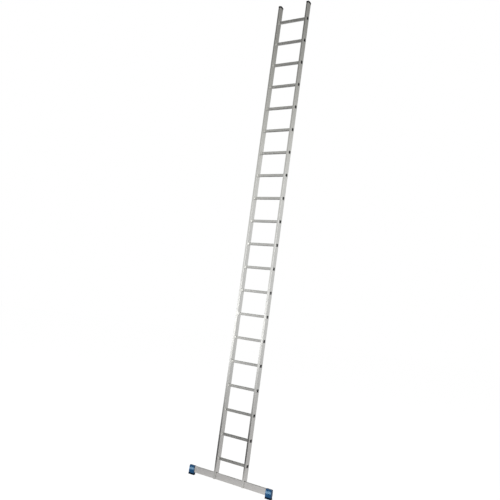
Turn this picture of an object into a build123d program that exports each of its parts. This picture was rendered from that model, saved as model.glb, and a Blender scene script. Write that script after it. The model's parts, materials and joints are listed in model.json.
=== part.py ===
from build123d import *
from math import radians, tan
import os

# Single section ladder: two box stiles, swaged square rungs and a foot bar bolted into the stiles.
# Millimetres. X runs along the rungs, Y from the climbing side to the wall side, Z up the stiles.
# The origin is on the floor, midway between the feet.

# Layout
rung_count = 20
rung_pitch = 280.0
lowest_rung_rise = 233.0
ladder_width = 420.0
stile_top_length = 206.0

# Stile section: webs face along X and carry the rungs, flanges are the front and back walls
stile_width = 25.0
stile_depth = 72.0
stile_web = 1.5
stile_flange = 2.5
stile_edge_radius = 3.0

# Rung section, with two flutes along each face
rung_size = 30.0
rung_wall = 2.0
rung_corner = 2.5
flute_depth = 1.0
flute_offset = 5.0

# Swaged joint: a collar inside each stile, a sleeve through it and a flared rim outside
rung_hole_clearance = 0.1
collar_width = 3.0
collar_flare = 36.0
rim_height = 1.8
rim_thickness = 1.2
rim_flare = 45.0

# Plugs in the rungs' open ends, with a bevelled head over the rim
plug_clearance = 0.15
plug_depth = 10.0
plug_wall = 1.6
plug_head_thickness = 2.0
plug_head_taper = 30.0

# Caps on the stiles' upper ends: an arched band with a crowned roof
top_cap_wall = 1.8
top_cap_corner = 3.5
top_cap_clearance = 0.2
top_cap_seat = 17.0
top_cap_roof = 3.0
top_cap_crown = 10.0
top_cap_arch = 7.0
top_cap_bevel = 1.8
top_cap_spigot_wall = 1.8

# Foot bar, standing on edge in a slot at the foot of each stile, forward of the stile's middle
foot_span = 1150.0
bar_forward = 11.0
bar_height = 72.0
bar_depth = 25.0
bar_wall = 2.0
bar_corner_radius = 3.0
slot_clearance = 0.3
slot_headroom = 5.0
slot_corner_radius = 4.0

# Hexagon bolts and nuts that hold the bar
bolt_radius = 4.0
bolt_hole_clearance = 0.2
bolt_head_height = 5.3
bolt_tail = 3.0
nut_height = 6.8
thread_clearance = 0.05
across_flats = 13.0

# Foot caps over the bar's ends: bulged flanks, rounded shoulders and a flat ridge
cap_length = 76.0
cap_end_wall = 4.0
cap_end_bevel = 3.0
cap_floor = 13.0
cap_roof = 3.0
cap_base_depth = 34.0
cap_shoulder_depth = 30.4
cap_shoulder_drop = 10.0
cap_ridge_depth = 23.0
cap_bulge = 2.6
cap_clearance = 0.2

# Rubber soles, held by a dovetail: the heel is bevelled to the angle at which the ladder leans
sole_height = 20.0
sole_lip = 1.0
sole_depth = 40.0
sole_toe = 5.0
sole_heel = 20.0
sole_bevel_angle = 15.0
sole_out = 3.0
sole_in = 2.0
sole_corner = 4.0
tread_groove_count = 4
tread_groove_width = 3.0
tread_groove_depth = 3.0
tread_groove_spacing = 8.0
dovetail_neck = 10.0
dovetail_head = 14.0
dovetail_height = 4.0
dovetail_clearance = 0.15

# Worked out from the sizes above
half_width = ladder_width / 2
half_inside = half_width - stile_width
stile_x = half_width - stile_width / 2
bar_bottom = sole_height + cap_floor
bar_top = bar_bottom + bar_height
bar_middle = bar_bottom + bar_height / 2
bar_length = foot_span - 2 * cap_end_wall
stile_bottom = bar_bottom
rung_heights = [stile_bottom + lowest_rung_rise + i * rung_pitch for i in range(rung_count)]
rung_bore = rung_size - 2 * rung_wall
rim_size = rung_size + 2 * rim_height
stile_top = rung_heights[-1] + stile_top_length
stile_bore_width = stile_width - 2 * stile_web
stile_bore_depth = stile_depth - 2 * stile_flange
cap_end = foot_span / 2
cap_start = cap_end - cap_length


def across(x):
    """Plane square to the rungs at x: its first axis is Y, its second Z."""
    return Plane.YZ.offset(x)


def outline(*points):
    """Face inside straight lines through the points."""
    return make_face(Polyline(*points, close=True))


def stile(side):
    """Box extrusion with a square hole for each rung in both webs, slotted from below for the bar."""
    wall = RectangleRounded(stile_width, stile_depth, stile_edge_radius)
    wall -= Rectangle(stile_bore_width, stile_bore_depth)
    body = Pos(0, 0, stile_bottom) * extrude(wall, amount=stile_top - stile_bottom)

    hole_size = rung_size + 2 * rung_hole_clearance
    holes = [Pos(0, 0, z) * Box(2 * stile_width, hole_size, hole_size) for z in rung_heights]

    slot_height = bar_top + slot_headroom - stile_bottom
    slot = RectangleRounded(bar_depth + 2 * slot_clearance, 2 * slot_height, slot_corner_radius)
    slot = Pos(0, -bar_forward, stile_bottom) * extrude(Plane.YZ * slot, amount=stile_width, both=True)

    bolt_hole = Pos(0, 0, bar_middle) * bolt_way()
    return Pos(side * stile_x, 0, 0) * (body - holes - slot - bolt_hole)


def bolt_way():
    """Round hole from front to back for a bolt."""
    return Rot(90, 0, 0) * Cylinder(bolt_radius + bolt_hole_clearance, 2 * stile_depth)


def rung():
    """Fluted tube whose ends are swaged to a collar, a sleeve and a flared rim."""
    flute_side = flute_depth * 2**0.5
    flute = Rot(0, 0, 45) * Rectangle(flute_side, flute_side)
    square = Rectangle(rung_size, rung_size)
    bevelled = chamfer(square.vertices(), rung_corner)
    section = bevelled
    for turn in (0, 90, 180, 270):
        for place in (-flute_offset, flute_offset):
            section -= Rot(0, 0, turn) * Pos(place, rung_size / 2) * flute
    collar_start = half_inside - collar_width
    tube = extrude(Plane.YZ * section, amount=collar_start, both=True)

    collar = extrude(across(collar_start) * bevelled, amount=collar_width, taper=-collar_flare)
    sleeve = extrude(across(half_inside) * square, amount=stile_width)
    rim = extrude(across(half_width) * Rectangle(rim_size, rim_size), amount=rim_thickness, taper=rim_flare)

    end = collar + sleeve + rim
    body = tube + end + mirror(end, about=Plane.YZ)
    return body - Box(2 * ladder_width, rung_bore, rung_bore)


def rung_plug():
    """Hollow push-in plug for the right end of a rung, its head seated on the rim."""
    size = rung_bore - 2 * plug_clearance
    hollow = size - 2 * plug_wall
    seat = half_width + rim_thickness
    shank = Rectangle(size, size) - Rectangle(hollow, hollow)
    shank = extrude(across(seat) * shank, amount=-plug_depth)
    head = Rectangle(rim_size, rim_size)
    return shank + extrude(across(seat) * head, amount=plug_head_thickness, taper=plug_head_taper)


def top_cap(side):
    """Arched cap over the stile's end, with a hollow spigot inside the stile's bore."""
    width = stile_width + 2 * top_cap_wall
    depth = stile_depth + 2 * top_cap_wall
    eaves = top_cap_seat + top_cap_roof
    ridge = eaves + top_cap_crown
    front, back = -depth / 2, depth / 2
    plan = Rectangle(width, depth)
    plan = chamfer(plan.vertices(), top_cap_corner)
    lower_edge = [
        (front, eaves),
        (front, 0),
        (front / 2, top_cap_arch),
        (back / 2, top_cap_arch),
        (back, 0),
        (back, eaves),
    ]
    crown = ThreePointArc((back, eaves), (0, ridge), (front, eaves))
    elevation = make_face([Polyline(*lower_edge), crown])
    shell = extrude(plan, amount=ridge) & extrude(Plane.YZ * elevation, amount=width, both=True)
    shell = chamfer(shell.faces().sort_by(Axis.Z)[-1].edges(), top_cap_bevel)

    # A bevel of half the radius passes outside the stile's rounded edge
    groove = Rectangle(stile_width + 2 * top_cap_clearance, stile_depth + 2 * top_cap_clearance)
    groove = chamfer(groove.vertices(), stile_edge_radius / 2)
    spigot_width = stile_bore_width - 2 * top_cap_clearance
    spigot_depth = stile_bore_depth - 2 * top_cap_clearance
    groove -= Rectangle(spigot_width, spigot_depth)
    hollow = Rectangle(spigot_width - 2 * top_cap_spigot_wall, spigot_depth - 2 * top_cap_spigot_wall)
    cap = shell - extrude(groove, amount=top_cap_seat) - extrude(hollow, amount=eaves)
    return Pos(side * stile_x, 0, stile_top - top_cap_seat) * cap


def foot_bar():
    """Rectangular tube across the ladder's foot, drilled for the two bolts."""
    section = RectangleRounded(bar_depth, bar_height, bar_corner_radius)
    section -= Rectangle(bar_depth - 2 * bar_wall, bar_height - 2 * bar_wall)
    bar = extrude(Plane.YZ * section, amount=bar_length / 2, both=True)
    holes = [Pos(side * stile_x, 0, 0) * bolt_way() for side in (-1, 1)]
    return Pos(0, 0, bar_middle) * (bar - holes)


def hexagon():
    return RegularPolygon(across_flats / 2, 6, major_radius=False)


def foot_bar_bolt():
    """Hexagon bolt along Y, its head against the stile's front face."""
    front = Plane.XZ.offset(stile_depth / 2)
    shank = extrude(front * Circle(bolt_radius), amount=-stile_depth - nut_height - bolt_tail)
    head = extrude(front * hexagon(), amount=bolt_head_height)
    return Pos(0, 0, bar_middle) * (shank + head)


def foot_bar_nut():
    """Hexagon nut against the stile's back face."""
    back = Plane.XZ.offset(-stile_depth / 2)
    section = hexagon() - Circle(bolt_radius + thread_clearance)
    return Pos(0, 0, bar_middle) * extrude(back * section, amount=-nut_height)


def dovetail(clearance):
    """Dovetail section on the cap's underside, grown by a clearance."""
    neck = dovetail_neck / 2 + clearance
    head = dovetail_head / 2 + clearance
    top = sole_height + dovetail_height + clearance
    return outline((-neck, sole_height), (neck, sole_height), (head, top), (-head, top))


def foot_cap():
    """Moulded cap for the bar's right end: bulged flanks, closed outer end, dovetail groove below."""
    ridge = bar_top + cap_roof
    shoulder = ridge - cap_shoulder_drop
    half_base = cap_base_depth / 2
    half_shoulder = cap_shoulder_depth / 2
    half_ridge = cap_ridge_depth / 2
    bulge = (half_base + half_shoulder) / 2 + cap_bulge
    flank = ThreePointArc(
        (half_base, sole_height),
        (bulge, (sole_height + shoulder) / 2),
        (half_shoulder, shoulder),
    )
    rounding = TangentArc(flank @ 1, (half_ridge, ridge), tangent=flank % 1)
    half_section = make_face(
        [
            flank,
            rounding,
            Polyline(rounding @ 1, (0, ridge), (0, sole_height), flank @ 0),
        ]
    )
    section = half_section + mirror(half_section, about=Plane.YZ)
    body = extrude(across(cap_start) * section, amount=cap_length)
    outer_edges = body.faces().sort_by(Axis.X)[-1].edges().sort_by(Axis.Z)[1:]
    body = chamfer(outer_edges, cap_end_bevel)

    inside = cap_length - cap_end_wall
    pocket = RectangleRounded(
        bar_depth + 2 * cap_clearance,
        bar_height + 2 * cap_clearance,
        bar_corner_radius + cap_clearance,
    )
    pocket = Pos(0, 0, bar_middle) * extrude(across(cap_start) * pocket, amount=inside)
    groove = extrude(across(cap_start) * dovetail(dovetail_clearance), amount=inside)
    return body - pocket - groove


def foot_sole():
    """Flared rubber sole under the right cap, bevelled at toe and heel and grooved along its length."""
    half_top = cap_base_depth / 2 + sole_lip
    half_depth = sole_depth / 2
    flat_start = sole_toe - half_depth
    flat_end = half_depth - sole_heel

    def rise(y):
        """Height of the underside above the floor."""
        return max(flat_start - y, 0, y - flat_end) * tan(radians(sole_bevel_angle))

    underside = [(y, rise(y)) for y in (-half_depth, flat_start, flat_end, half_depth)]
    section = outline(*underside, (half_top, sole_height), (-half_top, sole_height))
    groove = Rectangle(tread_groove_width, 2 * tread_groove_depth)
    for number in range(tread_groove_count):
        place = (number - (tread_groove_count - 1) / 2) * tread_groove_spacing
        section -= Pos(place, rise(place)) * groove
    side_view = outline(
        (cap_start - sole_in, 0),
        (cap_end + sole_out, 0),
        (cap_end + sole_lip, sole_height),
        (cap_start - sole_lip, sole_height),
    )
    block = extrude(Plane.XZ * side_view, amount=sole_depth, both=True)
    block &= extrude(Plane.YZ * section, amount=foot_span)
    corners = block.edges().filter_by(lambda edge: edge.bounding_box().size.Z > sole_height / 2)
    block = chamfer(corners, sole_corner)
    tongue = extrude(across(cap_start) * dovetail(0), amount=cap_length - cap_end_wall)
    return block + tongue


def pair(shape):
    """One copy of a part at each stile."""
    return Compound([Pos(side * stile_x, 0, 0) * shape for side in (-1, 1)])


def plug_row(plug):
    """One plug for each rung up a stile."""
    return Compound([Pos(0, 0, z) * plug for z in rung_heights])


bar_place = Pos(0, -bar_forward, 0)
right_plug = rung_plug()
right_cap = bar_place * foot_cap()
right_sole = bar_place * foot_sole()
one_rung = rung()

nodes = {
    "left_stile": stile(-1),
    "right_stile": stile(1),
    "left_rung_plugs": plug_row(mirror(right_plug, about=Plane.YZ)),
    "right_rung_plugs": plug_row(right_plug),
    "left_top_cap": top_cap(-1),
    "right_top_cap": top_cap(1),
    "foot_bar": bar_place * foot_bar(),
    "left_foot_cap": mirror(right_cap, about=Plane.YZ),
    "right_foot_cap": right_cap,
    "left_foot_sole": mirror(right_sole, about=Plane.YZ),
    "right_foot_sole": right_sole,
    "foot_bar_bolts": pair(foot_bar_bolt()),
    "foot_bar_nuts": pair(foot_bar_nut()),
}
for number, height in enumerate(rung_heights, start=1):
    nodes[f"rung_{number:02d}"] = Pos(0, 0, height) * one_rung

os.makedirs("parts", exist_ok=True)
for name, shape in nodes.items():
    export_step(shape, f"parts/{name}.step")
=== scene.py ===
import json
import math

import bpy
from mathutils import Matrix, Vector

# The frame holds every piece of the ladder; this script gives them their finishes, light and camera.
# Lengths are in metres. X runs to the ladder's right, Y to its back and Z up.

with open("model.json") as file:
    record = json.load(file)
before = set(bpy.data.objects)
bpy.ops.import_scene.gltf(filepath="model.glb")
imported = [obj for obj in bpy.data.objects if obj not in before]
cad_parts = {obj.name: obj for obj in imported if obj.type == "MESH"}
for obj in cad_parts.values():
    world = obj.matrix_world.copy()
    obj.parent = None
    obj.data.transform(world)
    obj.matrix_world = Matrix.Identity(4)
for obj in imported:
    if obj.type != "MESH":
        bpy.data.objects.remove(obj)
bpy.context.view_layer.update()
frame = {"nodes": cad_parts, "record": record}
nodes = frame["nodes"]
subparts = frame["record"]["subparts"]
scene = bpy.context.scene
scene.view_settings.view_transform = "Standard"


def extent(node):
    """Lowest and highest corner of the box round a piece."""
    corners = [tuple(corner) for corner in nodes[node].bound_box]
    return [tuple(pick(values) for values in zip(*corners)) for pick in (min, max)]


class Graph:
    """A small helper that builds the node tree of one material or world."""

    def __init__(self, owner, output="ShaderNodeOutputMaterial"):
        owner.use_nodes = True
        self.owner = owner
        self.tree = owner.node_tree
        self.tree.nodes.clear()
        self.output = self.add(output)

    def add(self, kind, inputs=None, **settings):
        node = self.tree.nodes.new(kind)
        for key, value in settings.items():
            setattr(node, key, value)
        for key, value in (inputs or {}).items():
            self.feed(node.inputs[key], value)
        return node

    def feed(self, socket, value):
        if isinstance(value, bpy.types.NodeSocket):
            self.tree.links.new(value, socket)
        else:
            socket.default_value = value

    def coords(self):
        return self.add("ShaderNodeTexCoord").outputs["Object"]

    def noise(self, scale, detail, roughness, stretch=(1, 1, 1)):
        """Noise in object space, stretched so that it can run along one axis."""
        place = self.add("ShaderNodeMapping", {0: self.coords(), "Scale": stretch}).outputs[0]
        inputs = {"Vector": place, "Scale": scale, "Detail": detail, "Roughness": roughness}
        return self.add("ShaderNodeTexNoise", inputs).outputs["Fac"]

    def ramp(self, factor, stops):
        node = self.add("ShaderNodeValToRGB", {"Fac": factor})
        elements = node.color_ramp.elements
        while len(elements) < len(stops):
            elements.new(0.5)
        for element, (position, colour) in zip(elements, stops):
            element.position = position
            element.color = (*colour, 1.0)
        return node.outputs["Color"]

    def spread(self, factor, low, high, start=0.3, end=0.7):
        """Map a factor that runs from start to end, between two values."""
        inputs = {"Value": factor, "From Min": start, "From Max": end, "To Min": low, "To Max": high}
        return self.add("ShaderNodeMapRange", inputs).outputs["Result"]

    def math(self, operation, a, b):
        return self.add("ShaderNodeMath", {0: a, 1: b}, operation=operation).outputs[0]

    def blend(self, factor, a, b):
        node = self.add("ShaderNodeMix", data_type="RGBA")
        self.feed(node.inputs["Factor"], factor)
        self.feed(node.inputs["A"], a)
        self.feed(node.inputs["B"], b)
        return node.outputs["Result"]

    def bump(self, height, strength, distance):
        inputs = {"Height": height, "Strength": strength, "Distance": distance}
        return self.add("ShaderNodeBump", inputs).outputs["Normal"]

    def edges(self, radius):
        """1 along a piece's edges and 0 on its flats."""
        rounded = self.add("ShaderNodeBevel", {"Radius": radius}).outputs[0]
        true = self.add("ShaderNodeNewGeometry").outputs["Normal"]
        match = self.add("ShaderNodeVectorMath", {0: rounded, 1: true}, operation="DOT_PRODUCT")
        return self.spread(match.outputs["Value"], 1.0, 0.0, start=0.8, end=0.99)

    def seen_rays(self):
        """1 for rays that the camera sees, straight or through a mirror or glass."""
        path = self.add("ShaderNodeLightPath").outputs
        seen = self.math("MAXIMUM", path["Is Camera Ray"], path["Is Glossy Ray"])
        return self.math("MAXIMUM", seen, path["Is Transmission Ray"])

    def finish(self, shader):
        self.tree.links.new(shader.outputs[0], self.output.inputs["Surface"])
        return self.owner

    def surface(self, **inputs):
        named = {key.replace("_", " "): value for key, value in inputs.items()}
        return self.finish(self.add("ShaderNodeBsdfPrincipled", named))


# Finishes

def material(name):
    return Graph(bpy.data.materials.new(name))


def drawn_out(axis, share):
    """Scale at which a pattern runs long along one axis."""
    return tuple(share if letter == axis else 1.0 for letter in "XYZ")


def aluminium(name, axis, base, gloss):
    """Satin extruded aluminium: die lines along the axis, oxide clouds, scratches, and smoother edges
    whose lighter tone is partly wear and partly a painted edge highlight.
    """
    graph = material(name)
    dull, bright, edge = [tuple(c + shift for c in base) for shift in (-0.05, 0.05, 0.13)]
    lines = graph.noise(scale=900.0, detail=4.0, roughness=0.6, stretch=drawn_out(axis, 0.012))
    bands = graph.noise(scale=110.0, detail=2.0, roughness=0.5, stretch=drawn_out(axis, 0.012))
    clouds = graph.noise(scale=9.0, detail=4.0, roughness=0.6)
    scratches = graph.noise(scale=420.0, detail=2.0, roughness=0.7, stretch=drawn_out(axis, 0.1))
    edge_band = graph.edges(radius=0.0012)
    tone = graph.ramp(lines, [(0.30, dull), (0.72, bright)])
    tone = graph.blend(graph.spread(bands, 0.0, 0.35), tone, (*base, 1.0))
    tone = graph.blend(graph.spread(clouds, 0.0, 0.30), tone, (*dull, 1.0))
    # Lighter tone along every edge: partly wear, partly a painted edge highlight.
    tone = graph.blend(graph.math("MULTIPLY", edge_band, 0.5), tone, (*edge, 1.0))
    rough = graph.spread(lines, *gloss)
    rough = graph.math("ADD", rough, graph.spread(clouds, 0.0, 0.06))
    rough = graph.math("ADD", rough, graph.spread(scratches, 0.0, 0.10, start=0.62, end=0.78))
    rough = graph.math("SUBTRACT", rough, graph.math("MULTIPLY", edge_band, 0.06))
    tangent = graph.add("ShaderNodeTangent", direction_type="RADIAL", axis=axis)
    return graph.surface(
        Base_Color=tone,
        Metallic=1.0,
        Roughness=rough,
        Anisotropic=0.8,
        Tangent=tangent.outputs[0],
        Normal=graph.bump(lines, strength=0.10, distance=0.0002),
    )


def moulded(name, dark, light, gloss, grain, depth, specular, tint=(1, 1, 1)):
    """Moulded plastic or rubber: a fine grain, faint flow marks, uneven gloss and rubbed edges."""
    graph = material(name)
    flow = graph.noise(scale=24.0, detail=4.0, roughness=0.6, stretch=(1, 1, 2.5))
    fine = graph.noise(scale=grain, detail=2.0, roughness=0.5)
    scuffs = graph.noise(scale=95.0, detail=5.0, roughness=0.75, stretch=(1, 0.4, 1))
    edge_band = graph.edges(radius=0.001)
    rubbed = tuple(1.25 * c + 0.004 for c in light)
    tone = graph.ramp(flow, [(0.3, dark), (0.7, light)])
    tone = graph.blend(graph.spread(scuffs, 0.0, 0.5, start=0.60, end=0.78), tone, (*rubbed, 1.0))
    tone = graph.blend(graph.math("MULTIPLY", edge_band, 0.45), tone, (*rubbed, 1.0))
    rough = graph.spread(flow, *gloss)
    rough = graph.math("ADD", rough, graph.spread(scuffs, 0.0, 0.16, start=0.58, end=0.78))
    return graph.surface(
        Base_Color=tone,
        Roughness=rough,
        Specular_IOR_Level=specular,
        Specular_Tint=(*tint, 1.0),
        Normal=graph.bump(fine, strength=0.25, distance=depth),
    )


def zinc_steel(name, thread_pitch=0.0):
    """Zinc plated steel with a faint crystalline mottle.

    A thread pitch adds ridges round a bolt's shank, which begins at the stiles' front face.
    """
    graph = material(name)
    mottle_depth = 0.00002
    thread_runout = 0.001
    mottle = graph.noise(scale=260.0, detail=3.0, roughness=0.6)
    clouds = graph.noise(scale=40.0, detail=3.0, roughness=0.5)
    edge_band = graph.edges(radius=0.0006)
    height = graph.math("MULTIPLY", mottle, mottle_depth)
    if thread_pitch:
        stile_front = extent("left_stile")[0][1]
        along = graph.add("ShaderNodeSeparateXYZ", {0: graph.coords()}).outputs["Y"]
        shank = graph.spread(along, 0.0, 1.0, start=stile_front, end=stile_front + thread_runout)
        ridges = graph.math("PINGPONG", along, thread_pitch / 2)
        height = graph.math("ADD", height, graph.math("MULTIPLY", shank, ridges))
    tone = graph.ramp(mottle, [(0.3, (0.48, 0.49, 0.50)), (0.7, (0.64, 0.64, 0.62))])
    tone = graph.blend(graph.spread(clouds, 0.0, 0.3), tone, (0.42, 0.41, 0.38, 1.0))
    tone = graph.blend(graph.math("MULTIPLY", edge_band, 0.5), tone, (0.72, 0.72, 0.71, 1.0))
    return graph.surface(
        Base_Color=tone,
        Metallic=1.0,
        Roughness=graph.spread(mottle, 0.24, 0.42),
        Normal=graph.bump(height, strength=1.0, distance=1.0),
    )


stile_metal = aluminium("stile_aluminium", axis="Z", base=(0.60, 0.60, 0.582), gloss=(0.24, 0.34))
rung_metal = aluminium("rung_aluminium", axis="X", base=(0.57, 0.57, 0.552), gloss=(0.18, 0.26))
bar_metal = aluminium("bar_aluminium", axis="X", base=(0.60, 0.595, 0.582), gloss=(0.24, 0.34))
bolt_steel = zinc_steel("bolt_steel", thread_pitch=0.00125)
slot_finishes = {
    "aluminium": bar_metal,
    "black_plastic": moulded(
        "black_plastic",
        dark=(0.006, 0.006, 0.0065),
        light=(0.011, 0.011, 0.012),
        gloss=(0.42, 0.55),
        grain=900.0,
        depth=0.0002,
        specular=0.2,
    ),
    "blue_plastic": moulded(
        "blue_plastic",
        dark=(0.001, 0.045, 0.135),
        light=(0.002, 0.059, 0.170),
        gloss=(0.15, 0.21),
        grain=1200.0,
        depth=0.0001,
        specular=0.5,
        tint=(0.48, 0.80, 1.0),
    ),
    "dark_rubber": moulded(
        "dark_rubber",
        dark=(0.0015, 0.007, 0.015),
        light=(0.003, 0.012, 0.024),
        gloss=(0.60, 0.75),
        grain=700.0,
        depth=0.0003,
        specular=0.12,
    ),
    "zinc_steel": zinc_steel("zinc_steel"),
}


def finish_of(part):
    """A piece's own finish, or else that of its material slot."""
    node = part["node"]
    if node.endswith("stile"):
        return stile_metal
    if node.startswith("rung"):
        return rung_metal
    if node == "foot_bar_bolts":
        return bolt_steel
    return slot_finishes[part["material_slot"]]


for part in subparts:
    for slot in nodes[part["node"]].material_slots:
        slot.material = finish_of(part)


# Floor and studio cards

floor_radius = 60.0
floor_gap = 0.0005
card_reach = 40.0
ceiling_height = 9.0


def sheet(name, corners, finish):
    mesh = bpy.data.meshes.new(name)
    mesh.from_pydata([Vector(c) for c in corners], [], [tuple(range(len(corners)))])
    card = bpy.data.objects.new(name, mesh)
    scene.collection.objects.link(card)
    card.data.materials.append(finish)
    return card


def disc(radius, height, corners=64):
    turns = [2 * math.pi * i / corners for i in range(corners)]
    return [(radius * math.cos(a), radius * math.sin(a), height) for a in turns]


def wall(radius, start, end, height):
    """Corners of an upright card between two bearings, counted in degrees from the X axis."""
    turns = [math.radians(bearing) for bearing in (end, start)]
    left, right = [(radius * math.cos(a), radius * math.sin(a)) for a in turns]
    return [(*left, 0.0), (*right, 0.0), (*right, height), (*left, height)]


def floor_finish():
    """Pale matt floor that renders just white, so that it eats no edge before it.

    Seen straight or in a mirror, it glows, and its darker matt part keeps the shadow.
    """
    graph = material("floor")
    seen_tone = (0.40, 0.40, 0.40, 1.0)
    seen_glow = 0.91
    clouds = graph.noise(scale=0.8, detail=2.0, roughness=0.5)
    tone = graph.ramp(clouds, [(0.3, (0.78, 0.78, 0.78)), (0.7, (0.82, 0.82, 0.82))])
    seen = graph.seen_rays()
    matt = graph.add("ShaderNodeBsdfDiffuse", {"Color": graph.blend(seen, tone, seen_tone)})
    glow = graph.add("ShaderNodeEmission", {"Strength": graph.math("MULTIPLY", seen, seen_glow)})
    return graph.finish(graph.add("ShaderNodeAddShader", {0: matt.outputs[0], 1: glow.outputs[0]}))


def plain_card_finish(name, strength):
    graph = material(name)
    return graph.finish(graph.add("ShaderNodeEmission", {"Strength": strength}))


def card_finish(name, tint, fade, front_left, front_right, back_left, back_right):
    """Card that shows a level by the distance from the ladder, one row for each quarter round it.

    The tint is full near the ladder and gone at the distance where it fades out.
    """
    graph = material(name)
    seam = 0.4
    front_slant = 0.36
    coords = graph.coords()
    flat = graph.add("ShaderNodeVectorMath", {0: coords, 1: (1, 1, 0)}, operation="MULTIPLY").outputs[0]
    away = graph.add("ShaderNodeVectorMath", {0: flat}, operation="LENGTH").outputs["Value"]

    def levels(row):
        stops = [(distance / card_reach, (level,) * 3) for distance, level in row]
        return graph.ramp(graph.math("DIVIDE", away, card_reach), stops)

    # In front of the ladder, the line between left and right runs at a slant
    place = graph.add("ShaderNodeSeparateXYZ", {0: coords}).outputs
    slant = graph.math("MULTIPLY", graph.math("MINIMUM", place["Y"], 0.0), front_slant)
    to_right = graph.spread(graph.math("ADD", place["X"], slant), 0.0, 1.0, start=-seam, end=seam)
    to_back = graph.spread(place["Y"], 0.0, 1.0, start=-seam, end=seam)
    front = graph.blend(to_right, levels(front_left), levels(front_right))
    back = graph.blend(to_right, levels(back_left), levels(back_right))
    near = graph.spread(away, 1.0, 0.0, start=fade / 4, end=fade)
    colour = graph.blend(near, (1.0, 1.0, 1.0, 1.0), (*tint, 1.0))
    strength = graph.blend(to_back, front, back)
    return graph.finish(graph.add("ShaderNodeEmission", {"Color": colour, "Strength": strength}))


# Each row holds pairs of distance and level, chosen for the tones of the metal that mirrors them
above = {
    "front_left": [
        (0.0, 0.0), (5.6, 0.06), (6.3, 0.26), (7.2, 0.22), (8.5, 0.27),
        (11.7, 0.48), (16.6, 0.74), (24.0, 0.82), (card_reach, 0.92),
    ],
    "front_right": [(0.0, 0.1), (4.5, 0.3), (6.2, 1.1), (11.7, 1.1), (24.0, 1.3), (card_reach, 1.3)],
    "back_left": [(0.0, 0.05), (6.2, 0.18), (8.5, 0.30), (16.6, 0.40), (card_reach, 0.45)],
    "back_right": [
        (0.0, 0.20), (6.2, 0.38), (8.5, 0.48), (11.7, 0.64),
        (16.6, 0.90), (24.0, 1.05), (card_reach, 1.0),
    ],
}
below = {
    "front_left": [
        (0.0, 0.71), (0.6, 0.67), (1.2, 0.06), (2.0, 0.0),
        (4.0, 0.08), (7.5, 0.52), (14.0, 0.92), (card_reach, 1.0),
    ],
    "front_right": [(0.0, 1.0), (0.6, 1.0), (1.2, 1.3), (3.0, 1.2), (6.0, 1.0), (card_reach, 1.0)],
    "back_left": [
        (0.0, 0.88), (0.7, 0.60), (2.0, 0.15), (4.5, 0.20), (11.0, 0.36),
        (14.1, 0.54), (15.2, 0.72), (16.7, 0.95), (card_reach, 1.0),
    ],
    "back_right": [
        (0.0, 0.88), (0.7, 0.82), (1.5, 0.67), (3.3, 0.70),
        (8.0, 0.70), (14.0, 0.75), (22.0, 0.80), (card_reach, 0.86),
    ],
}
ceiling_finish = card_finish("ceiling_card", tint=(1.0, 0.995, 0.955), fade=32.0, **above)
flag_finish = card_finish("floor_flag", tint=(1.0, 0.98, 0.98), fade=12.0, **below)
horizon_finish = plain_card_finish("horizon_card", strength=0.92)

# The floor lies just under the soles. The cards are over the ladder, on the floor and far behind it on
# the right, and only mirrors see them.
sheet("floor", disc(floor_radius, -floor_gap), floor_finish())
ceiling = sheet("ceiling_card", disc(card_reach, ceiling_height), ceiling_finish)
flag = sheet("floor_flag", disc(card_reach, floor_gap), flag_finish)
horizon_corners = wall(card_reach, start=20.0, end=90.0, height=ceiling_height)
horizon = sheet("horizon_card", horizon_corners, horizon_finish)
for card in (ceiling, flag, horizon):
    card.visible_camera = False
    card.visible_diffuse = False
    card.visible_shadow = False


# Light

def area_light(name, place, size, energy, target=None, mirrored=True):
    """Softbox that faces its target, or else the ladder at the lamp's own height."""
    lamp = bpy.data.lights.new(name, "AREA")
    lamp.shape = "RECTANGLE"
    lamp.size, lamp.size_y = size
    lamp.energy = energy
    holder = bpy.data.objects.new(name, lamp)
    scene.collection.objects.link(holder)
    holder.location = place
    facing = Vector(target or (0.0, 0.0, place[2])) - Vector(place)
    holder.rotation_euler = facing.to_track_quat("-Z", "Y").to_euler()
    holder.visible_glossy = mirrored
    return holder


def link_light(lamp, names, state):
    """Keep a lamp's light to the named pieces, or off them."""
    pieces = bpy.data.collections.new(f"{lamp.name}_pieces")
    for name in names:
        pieces.objects.link(nodes[name])
    for entry in pieces.collection_objects:
        entry.light_linking.link_state = state
    lamp.light_linking.receiver_collection = pieces


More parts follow.
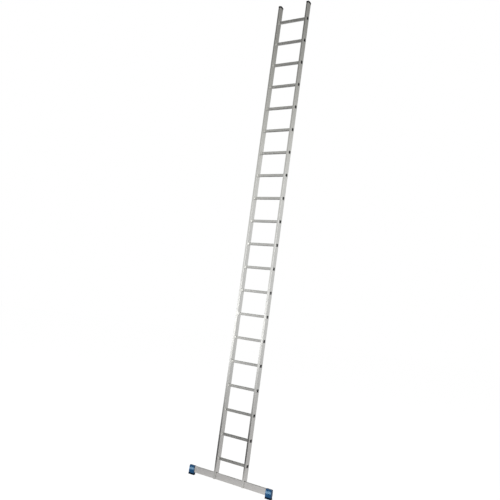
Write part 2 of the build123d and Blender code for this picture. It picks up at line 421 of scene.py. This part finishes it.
fill_size = (3.0, 2.5)
fill_energy = 200.0
key = area_light("key_softbox", place=(-5.35, -5.09, 1.72), size=(2.2, 1.6), energy=32.0)
area_light("camera_softbox", place=(6.36, -6.36, 3.0), size=(5.0, 4.4), energy=207.0)
area_light("left_fill", (-3.0, -7.0, 1.8), fill_size, fill_energy, mirrored=False)
back_fill = area_light("back_fill", (-1.0, 7.5, 1.8), fill_size, fill_energy, mirrored=False)
link_light(back_fill, [part["node"] for part in subparts], "INCLUDE")

# A small light for each foot cap, kept off the metal beside it, in place of the key
foot_light_height = 0.051
foot_light_size = (0.075, 0.045)
foot_light_energy = 0.084
foot_light_offsets = {"left_foot_cap": (-0.09, -0.12), "right_foot_cap": (-0.075, -0.13)}
link_light(key, foot_light_offsets, "EXCLUDE")
for node, (aside, forward) in foot_light_offsets.items():
    low, high = extent(node)
    middle = (low[0] + high[0]) / 2
    front = low[1]
    place = (middle + aside, front + forward, foot_light_height)
    target = (middle, front, foot_light_height)
    lamp = area_light(f"{node}_light", place, foot_light_size, foot_light_energy, target)
    link_light(lamp, [node], "INCLUDE")

# The world is white where it is seen and dimmer where it only lights the pieces
ambient_level = 0.22
white_level = 1.0
world = Graph(bpy.data.worlds.new("studio"), "ShaderNodeOutputWorld")
strength = world.spread(world.seen_rays(), ambient_level, white_level, start=0.0, end=1.0)
background = world.add("ShaderNodeBackground", {"Color": (1, 1, 1, 1), "Strength": strength})
scene.world = world.finish(background)
scene.world.cycles.sampling_method = "NONE"


# Camera, placed so that the upright ladder shows the leaning view

camera_place = (4.039, -6.131, 1.8965)
camera = bpy.data.cameras.new("camera")
camera.sensor_width = 36.0
camera.lens = 44.99
camera.clip_end = 200.0
eye = bpy.data.objects.new("camera", camera)
scene.collection.objects.link(eye)
right = Vector((0.82575, 0.54721, 0.13671)).normalized()
back = Vector((0.56159, -0.82020, -0.10904)).normalized()
up = back.cross(right).normalized()
right = up.cross(back)
turn = Matrix((right, up, back)).transposed().to_4x4()
eye.matrix_world = Matrix.Translation(camera_place) @ turn
scene.camera = eye
